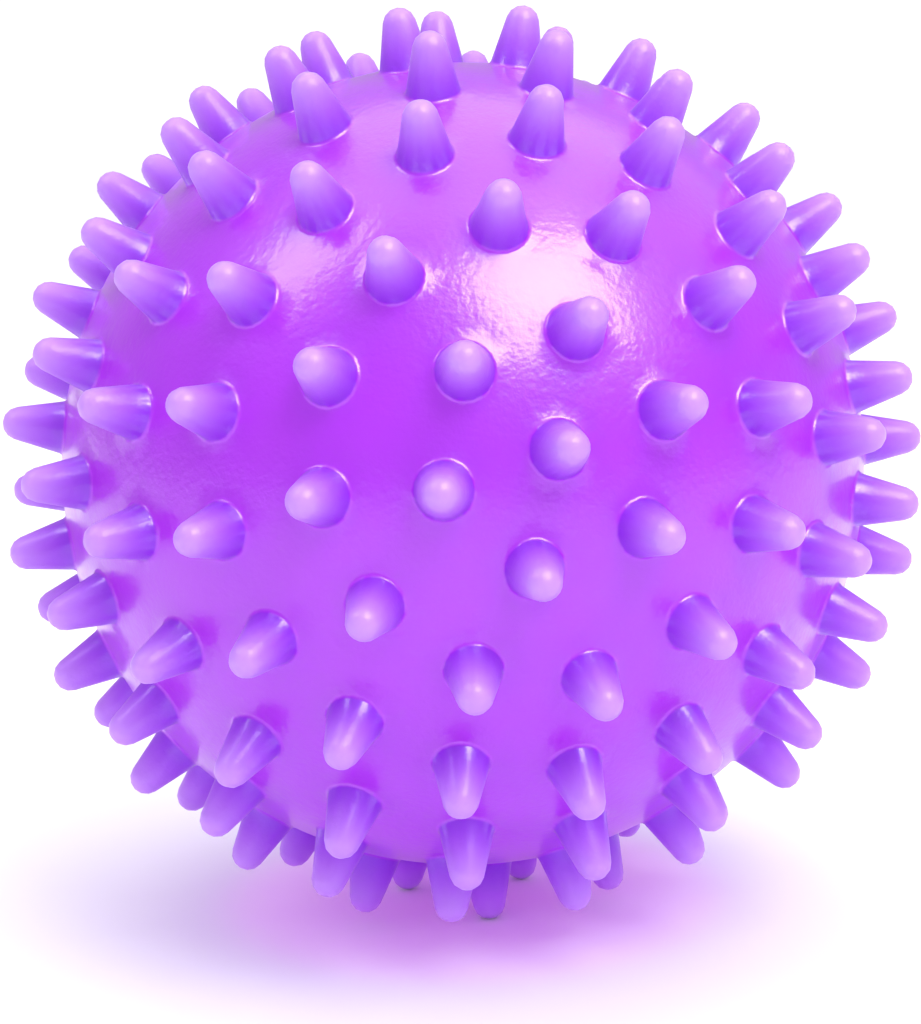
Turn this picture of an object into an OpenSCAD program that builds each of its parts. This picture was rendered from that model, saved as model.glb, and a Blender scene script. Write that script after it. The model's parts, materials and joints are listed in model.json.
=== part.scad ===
// Spiky massage ball: hollow soft vinyl skin with moulded nubs, inflation sleeve and pull-out plug.
// +Z is up. The ball lies on three nub tips; its centre is the origin.
// Its mould axis runs from the front pole (toward -Y) to the valve at the rear pole.

/* [Ball] */
// Diameter over the nub tips
over_tips = 90; // [60:1:120]
// How far a nub stands out of the skin
nub_h = 5.8; // [3:0.1:9]
// Thickness of the moulded skin
skin_wall = 2.2; // [1.4:0.1:4]

/* [Nubs] */
// Diameter of a nub where it leaves the skin
nub_base_d = 5.1; // [4:0.1:8]
// Diameter of the rounded tip
nub_tip_d = 3.2; // [2:0.1:5]
// Radius of the hollow curve at a nub's foot
foot_r = 0.4; // [0.3:0.1:1.5]
// Rows of nubs from the front pole to the rear pole
row_steps = 12; // [12:2:14]
// Nubs in each row round the widest part of the ball
belt_count = 22; // [20:1:24]

/* [Valve] */
// Bore for the plug's shank
plug_bore_d = 3.2; // [2.5:0.1:4.5]
// Wall of the sleeve round that bore
sleeve_wall = 1.6; // [1.2:0.1:2.4]
// How far the sleeve's barrel reaches into the ball
sleeve_len = 10; // [7:0.5:14]
// Width of the sleeve's flange outside its barrel
flange_lip = 1.6; // [1:0.1:2.2]
// Thickness of the sleeve's flange
flange_h = 1.2; // [0.8:0.1:1.8]
// Wall of the moulded neck that grips the sleeve
neck_wall = 1.8; // [1.2:0.1:2.6]
// Diameter of the plug's head
plug_head_d = 6.2; // [5:0.1:8]
// Thickness of the plug's head
plug_head_h = 1.1; // [0.8:0.1:1.6]

/* [Hidden] */
// Radial gap between the plug and its bore
plug_gap = 0.06;
// Radial squeeze of the sleeve in the moulded neck
sleeve_squeeze = 0.05;
// Gap round the flange in its recess
flange_gap = 0.15;
// Depth of the recess in the flange that takes the plug's head
head_recess = 0.5;
// Gap round the plug's head in that recess
head_gap = 0.2;
// Bevel round the plug's head and length of its tapered nose
head_bevel = 0.3;
nose_h = 1.2;
// Notch in the flange that lets a fingernail under the plug's head
notch_w = 2.4;
// How far the neck stops short of the sleeve's end, and the plug's nose short of it too
neck_short = 1.5;
nose_short = 1.5;
$fn = 72;

skin_r = over_tips / 2 - nub_h;
cavity_r = skin_r - skin_wall;
row_step = 180 / row_steps;
belt_pitch = 360 / belt_count;
// Forward tilt of the mould axis when one nub of the belt and two of the next row touch the floor
rest_tilt = atan((1 - cos(row_step) * cos(belt_pitch / 2)) / sin(row_step));

tip_r = nub_tip_d / 2;
tip_z = over_tips / 2 - tip_r;
base_r = nub_base_d / 2;
root_z = skin_r - 0.8;
// A nub's side is a cone that runs tangent into its rounded tip
tip_run = tip_z - skin_r;
cone_half = acos(tip_r / norm([base_r, tip_run])) - atan2(tip_run, base_r);
tip_touch = [tip_r * cos(cone_half), tip_z + tip_r * sin(cone_half)];
// The foot curve touches the cone and dips a little under the skin
foot_a = base_r + foot_r * cos(cone_half);
foot_b = skin_r + foot_r * sin(cone_half);
foot_m = tan(cone_half);
foot_q = pow(foot_a, 2) + pow(foot_b, 2) - pow(skin_r + 0.9 * foot_r, 2);
foot_p = foot_b - foot_m * foot_a;
foot_t = (sqrt(pow(foot_p, 2) - (1 + pow(foot_m, 2)) * foot_q) - foot_p) / (1 + pow(foot_m, 2));
foot_c = [foot_a - foot_m * foot_t, foot_b + foot_t];
foot_touch = foot_c - foot_r * [cos(cone_half), sin(cone_half)];

sleeve_r = plug_bore_d / 2 + sleeve_wall;
flange_r = sleeve_r + flange_lip;
neck_r = sleeve_r + neck_wall;
neck_end = skin_r - sleeve_len + neck_short;
flange_top = sqrt(pow(skin_r, 2) - pow(flange_r, 2)) + 0.35;
sleeve_end = flange_top - sleeve_len;
plug_r = plug_bore_d / 2 - plug_gap;
head_z = flange_top - head_recess;
plug_end = sleeve_end + nose_short;

// Nubs in row k: as many as fit at the row's own pitch, and never more than the belt holds
function row_count(k) =
    let (wide = 360 * sin(k * row_step) / row_step)
    (k == 0 || k == row_steps) ? 1 : min(belt_count, floor(wide + 0.04));

// Longitude of a row's first nub: odd rows start on the line, even rows half a belt pitch past it
function row_start(k) =
    let (near = min(k, row_steps - k))
    near == 1 ? belt_pitch : (near % 2 == 1 ? 0 : belt_pitch / 2);

// Stands its children on the mould axis, front pole along local +Z, and tilts them as the ball lies
module on_mould_axis() {
    rotate([90 - rest_tilt, 0, 0])
        children();
}

module nub() {
    rotate_extrude() {
        difference() {
            polygon([
                [0, root_z],
                [foot_c[0], root_z],
                [foot_c[0], foot_touch[1]],
                foot_touch,
                tip_touch,
                [0, tip_touch[1]]
            ]);
            translate(foot_c)
                circle(r = foot_r);
        }
        intersection() {
            translate([0, tip_z])
                circle(r = tip_r);
            translate([0, tip_touch[1]])
                square([tip_r, tip_r]);
        }
    }
}

// Every nub but the one at the rear pole, where the valve sits
module nubs() {
    for (k = [0:row_steps - 1])
        for (i = [0:row_count(k) - 1])
            rotate([0, 0, row_start(k) + i * 360 / row_count(k)])
                rotate([0, k * row_step, 0])
                    nub();
}

// Moulded in one piece: hollow skin, nubs, and the neck that grips the sleeve
module ball_skin() {
    color("MediumOrchid")
        on_mould_axis()
            difference() {
                union() {
                    difference() {
                        sphere(r = skin_r);
                        sphere(r = cavity_r);
                    }
                    translate([0, 0, -skin_r + 1])
                        cylinder(r = neck_r, h = skin_r - 1 - neck_end);
                    nubs();
                }
                // Bore for the sleeve's barrel
                translate([0, 0, -skin_r - 1])
                    cylinder(r = sleeve_r - sleeve_squeeze, h = skin_r + 1 - neck_end + 1);
                // Recess for the sleeve's flange
                translate([0, 0, -skin_r - 1])
                    cylinder(r = flange_r + flange_gap, h = skin_r + 1 - flange_top + flange_h);
            }
}

// Soft sleeve pressed into the neck, open right through for the plug
module valve_sleeve() {
    color("Plum")
        on_mould_axis()
            difference() {
                union() {
                    translate([0, 0, -flange_top])
                        cylinder(r = flange_r, h = flange_h);
                    translate([0, 0, -flange_top])
                        cylinder(r = sleeve_r, h = sleeve_len);
                }
                translate([0, 0, -flange_top - 1])
                    cylinder(r = plug_bore_d / 2, h = sleeve_len + 2);
                translate([0, 0, -flange_top - 1])
                    cylinder(r = plug_head_d / 2 + head_gap, h = head_recess + 1);
                translate([0, -notch_w / 2, -flange_top - 1])
                    cube([plug_head_d / 2 + 1, notch_w, head_recess + 1]);
            }
}

// Plug that pulls out for inflating: head, shank and a tapered nose
module valve_plug() {
    color("Thistle")
        on_mould_axis()
            union() {
                translate([0, 0, -head_z - plug_head_h])
                    cylinder(r1 = plug_head_d / 2 - head_bevel, r2 = plug_head_d / 2, h = head_bevel);
                translate([0, 0, -head_z - plug_head_h + head_bevel])
                    cylinder(r = plug_head_d / 2, h = plug_head_h - head_bevel);
                translate([0, 0, -head_z])
                    cylinder(r = plug_r, h = head_z - plug_end - nose_h);
                translate([0, 0, -plug_end - nose_h])
                    cylinder(r1 = plug_r, r2 = plug_r - 0.5, h = nose_h);
            }
}

ball_skin();
valve_sleeve();
valve_plug();
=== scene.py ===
"""Spiky massage ball in soft violet vinyl, with its valve sleeve and plug, in soft studio light."""

import json
import math

import bmesh
import bpy
import numpy as np
from mathutils import Matrix, Quaternion, Vector


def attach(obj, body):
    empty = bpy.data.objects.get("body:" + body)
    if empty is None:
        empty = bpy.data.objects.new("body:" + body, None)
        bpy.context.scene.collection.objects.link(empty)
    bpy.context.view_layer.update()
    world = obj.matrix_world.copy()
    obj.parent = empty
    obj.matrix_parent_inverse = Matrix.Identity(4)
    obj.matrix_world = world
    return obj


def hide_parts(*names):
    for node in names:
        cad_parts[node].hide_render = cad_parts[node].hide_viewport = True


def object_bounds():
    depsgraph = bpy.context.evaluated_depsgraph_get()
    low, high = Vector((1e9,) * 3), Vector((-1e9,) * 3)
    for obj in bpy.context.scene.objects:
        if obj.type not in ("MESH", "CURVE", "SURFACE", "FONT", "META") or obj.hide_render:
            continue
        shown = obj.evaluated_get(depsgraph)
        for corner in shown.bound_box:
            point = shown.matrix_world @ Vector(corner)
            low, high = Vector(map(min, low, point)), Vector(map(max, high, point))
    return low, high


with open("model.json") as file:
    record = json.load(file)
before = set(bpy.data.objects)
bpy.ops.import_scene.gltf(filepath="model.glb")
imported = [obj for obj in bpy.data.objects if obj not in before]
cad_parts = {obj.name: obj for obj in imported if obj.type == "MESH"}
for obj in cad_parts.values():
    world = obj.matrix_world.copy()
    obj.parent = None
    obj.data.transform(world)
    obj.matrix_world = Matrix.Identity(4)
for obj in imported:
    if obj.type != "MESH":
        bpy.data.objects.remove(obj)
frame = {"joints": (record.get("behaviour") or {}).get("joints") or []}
cad_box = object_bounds()

# ---------------------------------------------------------------- sizes, in metres
MM = 0.001
OVER_TIPS = 90.0 * MM          # across the ball, from nub tip to nub tip
NUB_H = 5.8 * MM               # how far a nub stands out of the skin
NUB_BASE_R = 2.55 * MM         # radius of its cone at the skin
NUB_TIP_R = 1.6 * MM           # radius of its rounded tip
FOOT_R = 0.4 * MM              # hollow curve at its foot
SKIN_WALL = 2.2 * MM
SKIN_R = OVER_TIPS / 2 - NUB_H
CAVITY_R = SKIN_R - SKIN_WALL

ROW_STEPS = 12                 # steps of the nubs' rows from pole to pole
BELT_COUNT = 22                # nubs round the widest rows
ROW_SLACK = 0.04               # a row this close to holding one more nub gets it
ROW_STEP = 180.0 / ROW_STEPS
BELT_PITCH = 360.0 / BELT_COUNT

PLUG_BORE_R = 1.6 * MM
PLUG_R = 1.54 * MM             # the shank runs in the bore with this much less
HEAD_R = 3.1 * MM
HEAD_H = 1.1 * MM
HEAD_RECESS = 0.5 * MM         # how deep the head sits in the flange
HEAD_GAP = 0.2 * MM
NOTCH_W = 2.4 * MM             # fingernail notch beside the head
SLEEVE_R = 3.2 * MM
SLEEVE_LEN = 10.0 * MM
FLANGE_R = 4.8 * MM
FLANGE_H = 1.2 * MM
FLANGE_GAP = 0.15 * MM         # round the flange, in the skin's recess
FLANGE_STAND = 0.35 * MM       # of the flange's face over the skin at its edge
LIP_R = 0.35 * MM              # rounded lip of that recess
NECK_R = 5.0 * MM
NECK_SHORT = 1.5 * MM          # the sleeve comes out of the neck's end by this much
NECK_LEAD = 0.4 * MM           # chamfer at the mouth of the neck's bore
NECK_EDGE = 0.5 * MM           # chamfer at the neck's outer edge
NECK_WEB = 0.8 * MM            # spread of the neck where it meets the cavity wall
BORE_TIGHT = 0.01 * MM         # the neck's bore is this much inside the sleeve's radius,
SLEEVE_TIGHT = 0.02 * MM       # and the sleeve this much, so their faces stay apart

NECK_END = SKIN_R - SLEEVE_LEN + NECK_SHORT
FLANGE_TOP = math.sqrt(SKIN_R ** 2 - FLANGE_R ** 2) + FLANGE_STAND
FLANGE_SEAT = FLANGE_TOP - FLANGE_H
HEAD_SEAT = FLANGE_TOP - HEAD_RECESS
SLEEVE_END = FLANGE_TOP - SLEEVE_LEN
PLUG_END = SLEEVE_END + 1.5 * MM

# ---------------------------------------------------------------- mesh fineness
NUB_SIDES = 20
VALVE_SIDES = 48
SKIN_SPACING = 1.25 * MM       # between the points of the outer ball
CAVITY_SPACING = 2.4 * MM      # and of the cavity wall
WELD = 0.02 * MM               # joins a nub's foot to the rim of its hole
DOUBLES = 1e-7                 # points closer than this are one
HARD_EDGE = 40                 # degrees, past which a small part's edge stays crisp

# The valve's pull direction is the mould axis, and its other end is the front pole.
# Meshes are made in the mould's own axes, with the front pole at +Z and the valve at -Z.
pull = Vector(frame["joints"][0]["axis"]).normalized()
front_pole = -pull
side = Vector((1, 0, 0))
mould = Matrix((side, front_pole.cross(side), front_pole)).transposed()


# ---------------------------------------------------------------- mesh helpers
def mesh_object(name, verts, faces, smooth=True):
    """A mesh object from lists of points and faces."""
    mesh = bpy.data.meshes.new(name)
    mesh.from_pydata([tuple(v) for v in verts], [], [tuple(f) for f in faces])
    mesh.validate()
    mesh.polygons.foreach_set("use_smooth", [smooth] * len(mesh.polygons))
    obj = bpy.data.objects.new(name, mesh)
    bpy.context.scene.collection.objects.link(obj)
    return obj


def lathe(profile, segments):
    """Points and faces of a profile of (radius, height) turned round local Z."""
    verts, faces, rings = [], [], []
    for r, z in profile:
        first = len(verts)
        if r < 1e-9:
            verts.append((0.0, 0.0, z))
            rings.append([first])
        else:
            verts += ring_points(r, z, segments)
            rings.append(list(range(first, first + segments)))
    for lower, upper in zip(rings, rings[1:]):
        for i in range(segments):
            j = (i + 1) % segments
            if len(lower) == 1:
                faces.append((lower[0], upper[j], upper[i]))
            elif len(upper) == 1:
                faces.append((lower[i], lower[j], upper[0]))
            else:
                faces.append((lower[i], lower[j], upper[j], upper[i]))
    return verts, faces


def ring_points(radius, z, sides, turn=None):
    """Points of a ring round local Z, turned by a rotation if one is given."""
    angles = [2 * math.pi * i / sides for i in range(sides)]
    ring = [Vector((radius * math.cos(a), radius * math.sin(a), z)) for a in angles]
    return [turn @ v for v in ring] if turn else ring


def arc(centre_r, centre_z, radius, start, end, steps):
    """Profile points along an arc, with angles in degrees from the radius axis."""
    angles = [math.radians(start + (end - start) * i / steps) for i in range(steps + 1)]
    return [(centre_r + radius * math.cos(a), centre_z + radius * math.sin(a)) for a in angles]


def plain_mesh(obj, name):
    """The evaluated object as a plain mesh object of its own."""
    graph = bpy.context.evaluated_depsgraph_get()
    mesh = bpy.data.meshes.new_from_object(
        obj.evaluated_get(graph), preserve_all_data_layers=True, depsgraph=graph
    )
    mesh.name = name
    made = bpy.data.objects.new(name, mesh)
    bpy.context.scene.collection.objects.link(made)
    return made


def finish_mesh(obj, hard_edge=None):
    """Merges doubled points, closes slits and shades smooth.

    A small part also has its faces turned outwards and its edges past hard_edge kept crisp.
    The skin has neither, because its cavity wall has to go on facing inwards.
    """
    bm = bmesh.new()
    bm.from_mesh(obj.data)
    bmesh.ops.remove_doubles(bm, verts=bm.verts, dist=DOUBLES)
    slits = [e for e in bm.edges if e.is_boundary]
    bmesh.ops.holes_fill(bm, edges=slits, sides=4)
    if hard_edge is not None:
        bmesh.ops.recalc_face_normals(bm, faces=bm.faces)
    for face in bm.faces:
        face.smooth = True
    bm.to_mesh(obj.data)
    bm.free()
    if hard_edge is not None:
        obj.data.set_sharp_from_angle(angle=math.radians(hard_edge))


def drop(*objects):
    """Removes helpers, and with them their modifiers."""
    for obj in objects:
        bpy.data.objects.remove(obj)


# ---------------------------------------------------------------- where the nubs stand
def row_count(k):
    """Nubs in row k: as many as fit at the rows' own pitch, and no more than the belt's."""
    if k in (0, ROW_STEPS):
        return 1
    fit = 360 * math.sin(math.radians(k * ROW_STEP)) / ROW_STEP
    return min(BELT_COUNT, math.floor(fit + ROW_SLACK))


def row_start(k):
    """Longitude of row k's first nub: rows are staggered by half a pitch of the belt."""
    near = min(k, ROW_STEPS - k)
    if near == 1:
        return BELT_PITCH
    return 0.0 if near % 2 else BELT_PITCH / 2


def nub_turns():
    """One turn of the mould's +Z for every nub but the rear pole's, where the valve sits."""
    turns = []
    for k in range(ROW_STEPS):
        tilt = Quaternion((0, 1, 0), math.radians(k * ROW_STEP))
        for i in range(row_count(k)):
            lon = math.radians(row_start(k) + i * 360 / row_count(k))
            turns.append(Quaternion((0, 0, 1), lon) @ tilt)
    return turns


# ---------------------------------------------------------------- profiles
def nub_profile():
    """Foot curve tangent to the skin, cone and rounded tip, from the skin upward."""
    tip_z = OVER_TIPS / 2 - NUB_TIP_R
    run = tip_z - SKIN_R
    lean = math.degrees(
        math.acos(NUB_TIP_R / math.hypot(NUB_BASE_R, run)) - math.atan2(run, NUB_BASE_R)
    )
    c, s, t = (f(math.radians(lean)) for f in (math.cos, math.sin, math.tan))
    # the foot curve's centre is FOOT_R off the cone's side and FOOT_R above the skin
    a, b = NUB_BASE_R + FOOT_R * c, SKIN_R + FOOT_R * s
    q = a * a + b * b - (SKIN_R + FOOT_R) ** 2
    p = b - t * a
    up = (math.sqrt(p * p - (1 + t * t) * q) - p) / (1 + t * t)
    foot = (a - t * up, b + up)
    meet = math.degrees(math.atan2(foot[1], foot[0]))
    profile = arc(*foot, FOOT_R, meet - 180, lean - 180, 2)
    low, high = profile[-1], (NUB_TIP_R * c, tip_z + NUB_TIP_R * s)
    profile.append(((low[0] + high[0]) / 2, (low[1] + high[1]) / 2))
    profile += arc(0, tip_z, NUB_TIP_R, lean, 90, 3)
    profile[-1] = (0.0, profile[-1][1])
    return profile


def valve_profile():
    """Lip, flange recess, bore and neck of the skin round the valve, from outside to inside."""
    recess_r = FLANGE_R + FLANGE_GAP
    rim_r = recess_r + LIP_R
    rim_z = -math.sqrt(SKIN_R ** 2 - rim_r ** 2)
    bore_r = SLEEVE_R - BORE_TIGHT
    join_r = NECK_R + NECK_WEB
    join_z = -math.sqrt(CAVITY_R ** 2 - join_r ** 2)
    profile = [(rim_r, rim_z)]
    for a in map(math.radians, (30, 60, 90)):
        profile.append((recess_r + LIP_R * (1 - math.sin(a)), rim_z + LIP_R * (1 - math.cos(a))))
    return profile + [
        (recess_r, -FLANGE_SEAT),
        (bore_r, -FLANGE_SEAT),
        (bore_r, -NECK_END - NECK_LEAD),
        (bore_r + NECK_LEAD, -NECK_END),
        (NECK_R - NECK_EDGE, -NECK_END),
        (NECK_R, -NECK_END - NECK_EDGE),
        (NECK_R, join_z + 0.9 * MM),
        (NECK_R + 0.25 * MM, join_z + 0.3 * MM),
        (join_r, join_z),
    ]


def sleeve_profile():
    """From the mouth of the bore inside the ball, round the outside and flange, and back."""
    out_r = SLEEVE_R - SLEEVE_TIGHT
    recess_r = HEAD_R + HEAD_GAP
    return [
        (PLUG_BORE_R, -SLEEVE_END - 0.2 * MM),
        (PLUG_BORE_R + 0.2 * MM, -SLEEVE_END),
        (SLEEVE_R - 0.4 * MM, -SLEEVE_END),
        (out_r, -SLEEVE_END - 0.6 * MM),
        (out_r, -FLANGE_SEAT),
        (FLANGE_R - 0.2 * MM, -FLANGE_SEAT),
        (FLANGE_R, -FLANGE_SEAT - 0.2 * MM),
        (FLANGE_R, -FLANGE_TOP + 0.35 * MM),
        (FLANGE_R - 0.1 * MM, -FLANGE_TOP + 0.1 * MM),
        (FLANGE_R - 0.35 * MM, -FLANGE_TOP),
        (recess_r + 0.15 * MM, -FLANGE_TOP),
        (recess_r, -FLANGE_TOP + 0.15 * MM),
        (recess_r, -HEAD_SEAT),
        (PLUG_BORE_R + 0.15 * MM, -HEAD_SEAT),
        (PLUG_BORE_R, -HEAD_SEAT + 0.15 * MM),
        (PLUG_BORE_R, -SLEEVE_END - 0.2 * MM),
    ]


def plug_profile():
    """Tapered nose, shank, and head with a shallow dimple in its face."""
    face = -HEAD_SEAT - HEAD_H
    return [
        (0, -PLUG_END),
        (PLUG_R - 0.7 * MM, -PLUG_END),
        (PLUG_R - 0.5 * MM, -PLUG_END - 0.12 * MM),
        (PLUG_R, -PLUG_END - 1.2 * MM),
        (PLUG_R, -HEAD_SEAT),
        (HEAD_R - 0.15 * MM, -HEAD_SEAT),
        (HEAD_R, -HEAD_SEAT - 0.15 * MM),
        (HEAD_R, face + 0.4 * MM),
        (HEAD_R - 0.12 * MM, face + 0.12 * MM),
        (HEAD_R - 0.4 * MM, face),
        (HEAD_R * 0.45, face),
        (HEAD_R * 0.38, face + 0.2 * MM),
        (0, face + 0.25 * MM),
    ]


# ---------------------------------------------------------------- the skin before its nubs
def ball_with_holes(radius, rings, spacing, away):
    """A sphere's mesh that leaves out the discs inside the given rings of points.

    The rings and evenly spread points between them are hulled, which gives even triangles.
    away lists (direction, cosine) caps that the spread points keep out of.
    """
    count = int(4 * math.pi * radius ** 2 / (spacing ** 2 * 0.9))
    k = np.arange(count) + 0.5
    z = 1 - 2 * k / count
    lon = math.pi * (1 + 5 ** 0.5) * k
    flat = np.sqrt(1 - z * z)
    spread = np.stack([flat * np.cos(lon), flat * np.sin(lon), z], 1)
    keep = np.ones(count, bool)
    for direction, cosine in away:
        keep &= spread @ np.array(direction) < cosine
    points, ring_of = [], []
    for number, ring in enumerate(rings):
        points += [tuple(v) for v in ring]
        ring_of += [number] * len(ring)
    points += [tuple(v) for v in spread[keep] * radius]
    ring_of += [-1] * int(keep.sum())

    bm = bmesh.new()
    owner = bm.verts.layers.int.new("ring")
    for point, number in zip(points, ring_of):
        bm.verts.new(point)[owner] = number
    bmesh.ops.convex_hull(bm, input=bm.verts[:], use_existing_faces=False)
    discs = [
        f for f in bm.faces
        if f.verts[0][owner] >= 0 and all(v[owner] == f.verts[0][owner] for v in f.verts)
    ]
    bmesh.ops.delete(bm, geom=discs, context="FACES_KEEP_BOUNDARY")
    loose = [e for e in bm.edges if not e.link_faces]
    bmesh.ops.delete(bm, geom=loose, context="EDGES")
    bmesh.ops.delete(bm, geom=[v for v in bm.verts if not v.link_faces], context="VERTS")
    bm.verts.index_update()
    verts = [tuple(v.co) for v in bm.verts]
    faces = [tuple(v.index for v in f.verts) for f in bm.faces]
    bm.free()

    outward = []
    for f in faces:
        p0, p1, p2 = (Vector(verts[i]) for i in f[:3])
        normal = (p1 - p0).cross(p2 - p0)
        outward.append(f if normal.dot(p0) > 0 else f[::-1])
    return verts, outward


def cap(direction, angle):
    """A cap for ball_with_holes, within an angle in radians of a direction."""
    return tuple(direction), math.cos(angle)


def bare_skin(turns, nub, valve):
    """Outer ball with a hole at each nub's foot, valve well and cavity wall, as one mesh.

    The spread points keep a little further from each hole than its own rim.
    """
    up, down = Vector((0, 0, 1)), (0, 0, -1)
    foot_r, foot_z = nub[0]
    foot_angle = math.atan2(foot_r, foot_z)
    rings = [ring_points(foot_r, foot_z, NUB_SIDES, q) for q in turns]
    away = [cap(q @ up, foot_angle * 1.22) for q in turns]
    rim_r, rim_z = valve[0]
    rings.append(ring_points(rim_r, rim_z, VALVE_SIDES))
    away.append(cap(down, math.asin(rim_r / SKIN_R) * 1.12))
    verts, faces = ball_with_holes(SKIN_R, rings, SKIN_SPACING, away)

    join_r, join_z = valve[-1]
    cavity = ball_with_holes(
        CAVITY_R, [ring_points(join_r, join_z, VALVE_SIDES)], CAVITY_SPACING,
        [cap(down, math.asin(join_r / CAVITY_R) * 1.15)],
    )
    # both of these face the other way from how they are made
    for more_verts, more_faces in (cavity, lathe(valve, VALVE_SIDES)):
        first = len(verts)
        verts += more_verts
        faces += [tuple(first + i for i in reversed(f)) for f in more_faces]
    return verts, faces


# ---------------------------------------------------------------- nodes
def node(tree, kind, links=(), **settings):
    """Adds a node, sets its properties and input values, and links (input, source) pairs."""
    made = tree.nodes.new(kind)
    inputs = settings.pop("inputs", {})
    for key, value in settings.items():
        setattr(made, key, value)
    for key, value in inputs.items():
        made.inputs[key].default_value = value
    for key, source in links:
        tree.links.new(source, made.inputs[key])
    return made


def nubs_on_skin_tree():
    """Stands a nub on every foot point, welds each to the rim of its hole, sets the material."""
    tree = bpy.data.node_groups.new("nubs_on_skin", "GeometryNodeTree")
    for name, kind in (
        ("Geometry", "Geometry"), ("Nub", "Object"), ("Foot points", "Object"),
        ("Weld", "Float"), ("Vinyl", "Material"),
    ):
        tree.interface.new_socket(name, in_out="INPUT", socket_type="NodeSocket" + kind)
    tree.interface.new_socket("Geometry", in_out="OUTPUT", socket_type="NodeSocketGeometry")
    start = node(tree, "NodeGroupInput")
    nub = node(tree, "GeometryNodeObjectInfo", [("Object", start.outputs["Nub"])])
    feet = node(tree, "GeometryNodeObjectInfo", [("Object", start.outputs["Foot points"])])
    turn = node(
        tree, "GeometryNodeInputNamedAttribute", data_type="QUATERNION", inputs={"Name": "turn"}
    )
    stand = node(tree, "GeometryNodeInstanceOnPoints", [
        ("Points", feet.outputs["Geometry"]),
        ("Instance", nub.outputs["Geometry"]),
        ("Rotation", turn.outputs["Attribute"]),
    ])
    real = node(tree, "GeometryNodeRealizeInstances", [("Geometry", stand.outputs["Instances"])])
    joined = node(tree, "GeometryNodeJoinGeometry", [
        ("Geometry", start.outputs["Geometry"]), ("Geometry", real.outputs["Geometry"]),
    ])
    welded = node(tree, "GeometryNodeMergeByDistance", [
        ("Geometry", joined.outputs["Geometry"]), ("Distance", start.outputs["Weld"]),
    ])
    whole = node(tree, "GeometryNodeRealizeInstances", [("Geometry", welded.outputs["Geometry"])])
    dressed = node(tree, "GeometryNodeSetMaterial", [
        ("Geometry", whole.outputs["Geometry"]), ("Material", start.outputs["Vinyl"]),
    ])
    node(tree, "NodeGroupOutput", [("Geometry", dressed.outputs["Geometry"])])
    return tree


# ---------------------------------------------------------------- materials
def colour(hex_code):
    """An sRGB hex colour as linear RGBA."""
    parts = [int(hex_code[i:i + 2], 16) / 255 for i in (1, 3, 5)]
    linear = [c / 12.92 if c <= 0.04045 else ((c + 0.055) / 1.055) ** 2.4 for c in parts]
    return (*linear, 1.0)


def blank_material(name):
    mat = bpy.data.materials.new(name)
    mat.use_nodes = True
    mat.node_tree.nodes.clear()
    return mat, mat.node_tree


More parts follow.
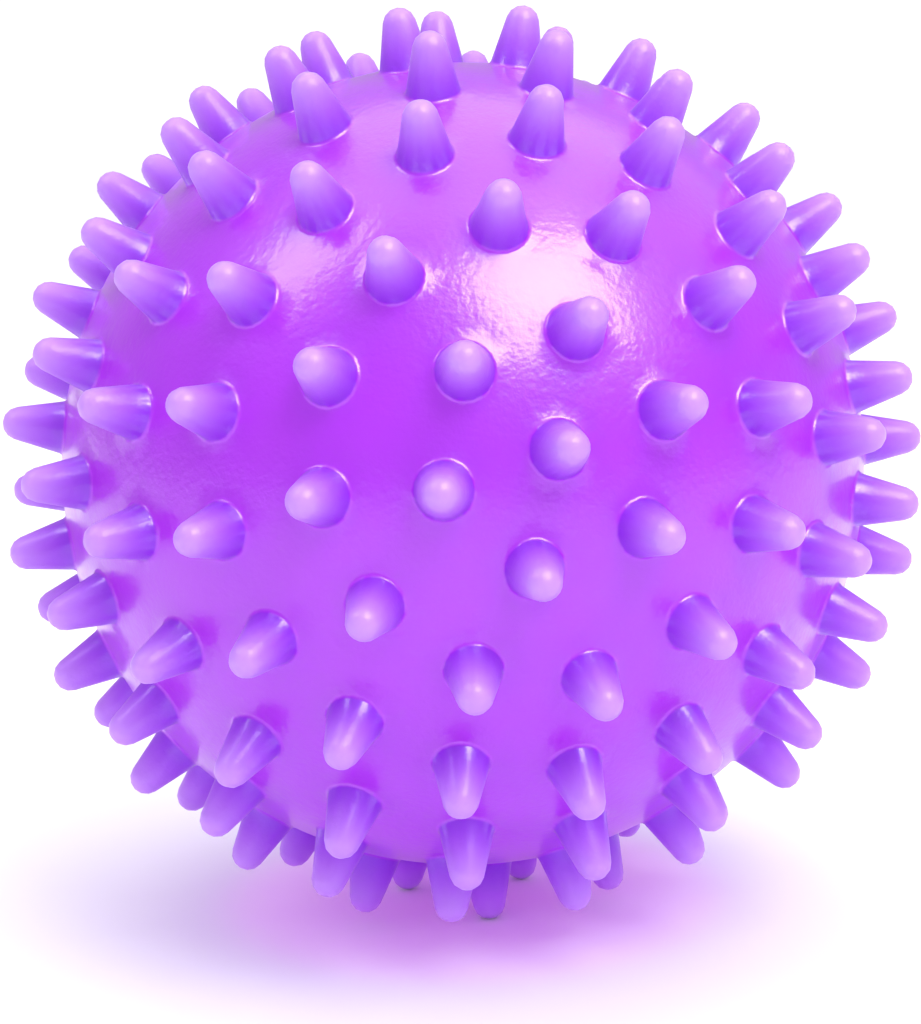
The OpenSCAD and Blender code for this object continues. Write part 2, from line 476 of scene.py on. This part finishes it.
def soft_vinyl():
    """Plasticised PVC, rotation moulded in a polished mould.

    It is violet all through, light spreads inside its wall, and its skin is glossy with a
    fine orange peel that breaks up the edge of each highlight.
    """
    mat, tree = blank_material("soft_pvc_moulded_violet")
    place = node(tree, "ShaderNodeTexCoord")
    # clouds of a slightly richer tint, 14 mm across, where the wall is thicker
    cloud = node(
        tree, "ShaderNodeTexNoise", [("Vector", place.outputs["Object"])],
        inputs={"Scale": 1 / (14 * MM), "Detail": 3.0, "Roughness": 0.5},
    )
    tint = node(
        tree, "ShaderNodeMix", [("Factor", cloud.outputs["Fac"])], data_type="RGBA",
        inputs={"A": colour("#9A1ED6"), "B": colour("#A828E0")},
    )
    # how far up a nub a point is, from 0 at the skin to 1 at the tip
    reach = node(
        tree, "ShaderNodeVectorMath", [("Vector", place.outputs["Object"])], operation="LENGTH"
    )
    along = node(
        tree, "ShaderNodeMapRange", [("Value", reach.outputs["Value"])],
        inputs={"From Min": SKIN_R, "From Max": OVER_TIPS / 2},
    )
    # a nub is solid; its colour is painted shade and painted light: deeper violet at its foot, as
    # shade where it meets the skin, and paler toward its tip, as light that the thin tip catches
    # and lets through
    painted_light_ramp = node(tree, "ShaderNodeValToRGB", [("Fac", along.outputs["Result"])])
    stops = painted_light_ramp.color_ramp
    stops.interpolation = "B_SPLINE"
    stops.elements[0].position, stops.elements[0].color = 0.06, colour("#8418D8")
    stops.elements[1].position, stops.elements[1].color = 1.0, colour("#B886E8")
    stops.elements.new(0.4).color = colour("#A04CE2")
    stops.elements.new(0.75).color = colour("#B072E6")
    on_nub = node(
        tree, "ShaderNodeMapRange", [("Value", along.outputs["Result"])],
        inputs={"From Min": 0.01, "From Max": 0.06},
    )
    # mixes the skin's own tint into the nub's painted shade at the foot and painted light toward
    # the tip
    skin_and_painted_light = node(tree, "ShaderNodeMix", [
        ("Factor", on_nub.outputs["Result"]),
        ("A", tint.outputs["Result"]),
        ("B", painted_light_ramp.outputs["Color"]),
    ], data_type="RGBA")
    # the nubs are duller than the skin between them, so that they mirror each other less
    dulled = node(
        tree, "ShaderNodeMapRange", [("Value", along.outputs["Result"])],
        inputs={"From Min": 0.02, "From Max": 0.3, "To Min": 0.36, "To Max": 0.48},
    )
    polish = node(
        tree, "ShaderNodeMapRange", [("Value", along.outputs["Result"])],
        inputs={"From Min": 0.02, "From Max": 0.3, "To Min": 0.7, "To Max": 0.15},
    )
    # orange peel, drawn 0.65 mm across so that it shows
    peel = node(
        tree, "ShaderNodeTexNoise", [("Vector", place.outputs["Object"])],
        inputs={"Scale": 1 / (0.65 * MM), "Detail": 2.0, "Roughness": 0.55},
    )
    bump = node(
        tree, "ShaderNodeBump", [("Height", peel.outputs["Fac"])],
        inputs={"Strength": 0.4, "Distance": 0.1 * MM},
    )
    shader = node(tree, "ShaderNodeBsdfPrincipled", [
        # base colour: the skin's tint, and on the nubs painted shade at the foot and painted light
        # toward the tip
        ("Base Color", skin_and_painted_light.outputs["Result"]),
        ("Normal", bump.outputs["Normal"]),
        ("Coat Normal", bump.outputs["Normal"]),
        ("Roughness", dulled.outputs["Result"]),
        ("Coat Weight", polish.outputs["Result"]),
    ], subsurface_method="BURLEY", inputs={
        "IOR": 1.5,
        "Coat Roughness": 0.16,
        "Coat IOR": 1.5,
        "Subsurface Weight": 1.0,
        "Subsurface Radius": (1.0, 1.0, 1.0),
        "Subsurface Scale": 0.8 * MM,
        "Sheen Weight": 0.3,
        "Sheen Roughness": 0.3,
        "Sheen Tint": colour("#F4CCFA"),
    })
    node(tree, "ShaderNodeOutputMaterial", [("Surface", shader.outputs["BSDF"])])
    return mat


def satin_moulding(name, low, high, roughness):
    """A small injection moulding: an even satin with faint clouds of tint, 3 mm across."""
    mat, tree = blank_material(name)
    place = node(tree, "ShaderNodeTexCoord")
    cloud = node(
        tree, "ShaderNodeTexNoise", [("Vector", place.outputs["Object"])],
        inputs={"Scale": 1 / (3 * MM), "Detail": 3.0},
    )
    tint = node(
        tree, "ShaderNodeMix", [("Factor", cloud.outputs["Fac"])], data_type="RGBA",
        inputs={"A": colour(low), "B": colour(high)},
    )
    bump = node(
        tree, "ShaderNodeBump", [("Height", cloud.outputs["Fac"])],
        inputs={"Strength": 0.2, "Distance": 0.1 * MM},
    )
    shader = node(tree, "ShaderNodeBsdfPrincipled", [
        ("Base Color", tint.outputs["Result"]), ("Normal", bump.outputs["Normal"]),
    ], inputs={"Roughness": roughness, "IOR": 1.5})
    node(tree, "ShaderNodeOutputMaterial", [("Surface", shader.outputs["BSDF"])])
    return mat


def paper_sweep():
    """Matt white background paper, with no shine of its own to show a horizon in."""
    mat, tree = blank_material("white_paper_sweep")
    shader = node(tree, "ShaderNodeBsdfPrincipled", inputs={
        "Base Color": colour("#F6F6F6"), "Roughness": 0.9, "Specular IOR Level": 0.0,
    })
    node(tree, "ShaderNodeOutputMaterial", [("Surface", shader.outputs["BSDF"])])
    return mat


# ---------------------------------------------------------------- the skin with its nubs
vinyl = soft_vinyl()
turns = nub_turns()
nub = nub_profile()

shell = mesh_object("bare_skin", *bare_skin(turns, nub, valve_profile()))
one_nub = mesh_object("nub", *lathe(nub, NUB_SIDES))
feet = mesh_object("nub_feet", [(0, 0, 0)] * len(turns), [])
turn_of = feet.data.attributes.new("turn", "QUATERNION", "POINT")
turn_of.data.foreach_set("value", [c for q in turns for c in q])

tree = nubs_on_skin_tree()
raise_nubs = shell.modifiers.new("nubs", "NODES")
raise_nubs.node_group = tree
sockets = {i.name: i.identifier for i in tree.interface.items_tree if i.in_out == "INPUT"}
raise_nubs[sockets["Nub"]] = one_nub
raise_nubs[sockets["Foot points"]] = feet
raise_nubs[sockets["Weld"]] = WELD
raise_nubs[sockets["Vinyl"]] = vinyl
skin = plain_mesh(shell, "moulded_skin")
drop(shell, one_nub, feet)
finish_mesh(skin)

# ---------------------------------------------------------------- the valve's two parts
plug = mesh_object("plug", *lathe(plug_profile(), VALVE_SIDES))
finish_mesh(plug, HARD_EDGE)

plain_sleeve = mesh_object("plain_sleeve", *lathe(sleeve_profile(), VALVE_SIDES))
finish_mesh(plain_sleeve, HARD_EDGE)
near, far = HEAD_R + 1.0 * MM, NOTCH_W / 2
corners = ((0, -far), (near, -far), (near, far), (0, far))
notch_cutter = mesh_object("notch_cutter", [
    (x, y, z) for z in (-FLANGE_TOP - 1.0 * MM, -HEAD_SEAT) for x, y in corners
], [(3, 2, 1, 0), (4, 5, 6, 7), (0, 1, 5, 4), (1, 2, 6, 5), (2, 3, 7, 6), (3, 0, 4, 7)])
notch = plain_sleeve.modifiers.new("fingernail_notch", "BOOLEAN")
notch.operation, notch.solver, notch.object = "DIFFERENCE", "EXACT", notch_cutter
sleeve = plain_mesh(plain_sleeve, "sleeve")
drop(plain_sleeve, notch_cutter)
finish_mesh(sleeve, HARD_EDGE)

# soft PVC, dyed like the skin but satin; polyethylene, milky and a little glossier
sleeve.data.materials.append(
    satin_moulding("soft_pvc_sleeve_satin", "#9A35D8", "#A845E2", roughness=0.42)
)
plug.data.materials.append(
    satin_moulding("polyethylene_plug_milky", "#C4ACDE", "#D0BCE8", roughness=0.38)
)

for piece in (skin, sleeve, plug):
    piece.data.transform(mould.to_4x4())
    piece.data.update()

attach(skin, "ball")
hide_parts("ball_skin")
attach(sleeve, "ball")
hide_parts("valve_sleeve")
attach(plug, "plug")
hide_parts("valve_plug")

# ---------------------------------------------------------------- floor
floor_z = cad_box[0][2]
FLOOR_HALF = 3.0
floor_corners = [
    (x * FLOOR_HALF, y * FLOOR_HALF, floor_z) for x, y in ((-1, -1), (1, -1), (1, 1), (-1, 1))
]
floor = mesh_object("floor", floor_corners, [(0, 1, 2, 3)], smooth=False)
floor.data.materials.append(paper_sweep())

# ---------------------------------------------------------------- camera
AZIMUTH, ELEVATION, ROLL = (math.radians(a) for a in (-12.0, 8.4, -1.4))
toward = Vector((
    math.sin(AZIMUTH) * math.cos(ELEVATION),
    -math.cos(AZIMUTH) * math.cos(ELEVATION),
    math.sin(ELEVATION),
))
level = Vector((math.cos(AZIMUTH), math.sin(AZIMUTH), 0))
right = math.cos(ROLL) * level + math.sin(ROLL) * toward.cross(level)
above = toward.cross(right)

WIDE, TALL = 921, 1024          # the frame, across and up
BALL_X, BALL_Y = 463.0, 463.5   # the ball's centre in it, from the left and from the top
BALL_R = 401.2                  # radius of the skin's outline in it
RADII_OFF = 6.3                 # the camera's distance from the centre, in skin radii
SENSOR = 36.0
lens = bpy.data.cameras.new("camera")
lens.sensor_fit = "VERTICAL"
lens.sensor_height = SENSOR
lens.lens = BALL_R * math.sqrt(RADII_OFF ** 2 - 1) / TALL * SENSOR
lens.shift_x = (WIDE / 2 - BALL_X) / TALL
lens.shift_y = (BALL_Y - TALL / 2) / TALL
lens.clip_start = 0.01
camera = bpy.data.objects.new("camera", lens)
bpy.context.scene.collection.objects.link(camera)
axes = Matrix((right, above, toward)).transposed().to_4x4()
camera.matrix_world = Matrix.Translation(toward * RADII_OFF * SKIN_R) @ axes
bpy.context.scene.camera = camera


# ---------------------------------------------------------------- lights
def area_light(name, shape, size, size_y, watts, tint=(1, 1, 1)):
    data = bpy.data.lights.new(name, "AREA")
    data.shape, data.size, data.size_y, data.energy, data.color = shape, size, size_y, watts, tint
    light = bpy.data.objects.new(name, data)
    bpy.context.scene.collection.objects.link(light)
    return light


def softbox(name, direction, distance, size, size_y, watts, only_gloss=False):
    """Stands in a direction from the ball that is given along the camera's right, up and out.

    One that lights only_gloss shows as a highlight and leaves the colour of the vinyl alone.
    """
    across, up, out = direction
    way = (right * across + above * up + toward * out).normalized()
    light = area_light(name, "RECTANGLE", size, size_y, watts)
    light.visible_diffuse = not only_gloss
    facing = way.to_track_quat("Z", "Y").to_matrix().to_4x4()
    light.matrix_world = Matrix.Translation(way * distance) @ facing


softbox("softbox_right", (0.345, 0.70, 0.62), 0.9, 0.5, 0.44, 3.4)
softbox("softbox_right_sheen", (0.355, 0.70, 0.62), 0.9, 0.60, 0.52, 7.2, only_gloss=True)
softbox("overhead_sheen", (0.35, 0.93, 0.1), 0.95, 1.7, 1.5, 4.7, only_gloss=True)
softbox("softbox_left_sheen", (-0.58, 0.77, 0.26), 0.9, 0.3, 0.45, 2.6, only_gloss=True)
softbox("softbox_top", (0.0, 1.0, -0.1), 0.85, 0.9, 0.9, 2.6)


def glow(name, height, width, facing, tint, watts):
    """Light that the translucent ball lets through to the floor and its own underside."""
    light = area_light(name, "DISK", width, width, watts, tint)
    light.visible_camera = light.visible_glossy = False
    turn = Vector(facing).to_track_quat("-Z", "Y").to_matrix().to_4x4()
    light.matrix_world = Matrix.Translation((0, 0, height)) @ turn


glow("glow_down", floor_z + 3.2 * MM, 0.05, (0, 0, -1), (1.0, 0.02, 0.9), 0.0012)
glow("glow_up", floor_z + 0.6 * MM, 0.13, (0, 0, 1), (0.75, 0.15, 1.0), 0.006)

# the room is white to the eye and to matt surfaces, and dimmer where the vinyl mirrors it
world = bpy.data.worlds.new("white_room")
world.use_nodes = True
room = world.node_tree
ray = node(room, "ShaderNodeLightPath")
strength = node(
    room, "ShaderNodeMapRange", [("Value", ray.outputs["Is Glossy Ray"])],
    inputs={"To Min": 1.1, "To Max": 0.4},
)
background = room.nodes["Background"]
background.inputs["Color"].default_value = (1, 1, 1, 1)
room.links.new(strength.outputs["Result"], background.inputs["Strength"])
bpy.context.scene.world = world
bpy.context.scene.view_settings.view_transform = "Standard"
